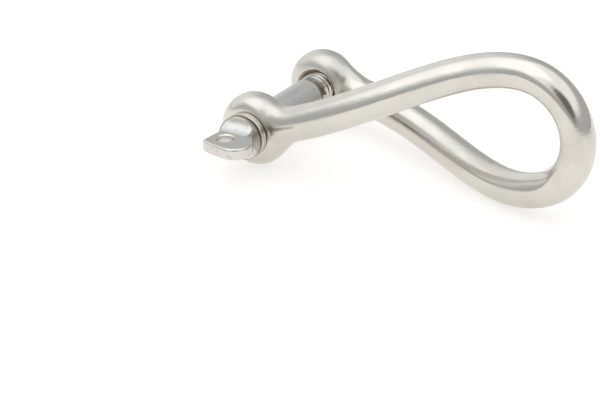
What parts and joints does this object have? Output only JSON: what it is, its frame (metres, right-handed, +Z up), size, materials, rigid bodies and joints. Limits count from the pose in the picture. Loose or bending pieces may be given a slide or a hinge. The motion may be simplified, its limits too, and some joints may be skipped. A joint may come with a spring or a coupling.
{
  "type": "twisted shackle",
  "caption": "Long twisted bow shackle: a round bar turned a quarter turn between two eyes, closed by a screw pin with a flat tongue.",
  "frame": {"origin": "on the screw pin's axis, midway between the two eyes", "axes": "+Y along the pin's axis from its tongue to its threaded end, +Z up with the shackle lying on a flat floor, +X level, from the pin towards the crown of the bow"},
  "size_m": [0.1069, 0.0629, 0.0461],
  "materials": {
    "polished_steel": "mirror polished stainless steel with fine casting pits",
    "turned_steel": "bright turned stainless steel",
    "pin_steel": "satin stainless steel, with a blasted flat tongue"
  },
  "bodies": {
    "bow": {"bow": "polished_steel"},
    "ring": {"collar_ring": "turned_steel"},
    "pin": {"screw_pin": "pin_steel"}
  },
  "joints": [
    {"name": "pin_travel", "type": "slide", "parent": "bow", "child": "ring", "axis": [0, -1, 0], "range_m": [0, 0.036]},
    {"name": "pin_turn", "type": "hinge", "parent": "ring", "child": "pin", "pos_m": [0, 0, 0], "axis": [0, -1, 0], "range_deg": [0, 8640]}
  ],
  "couplings": [
    {"joint": "pin_turn", "follows": "pin_travel", "rad_per_m": 4188.8}
  ]
}
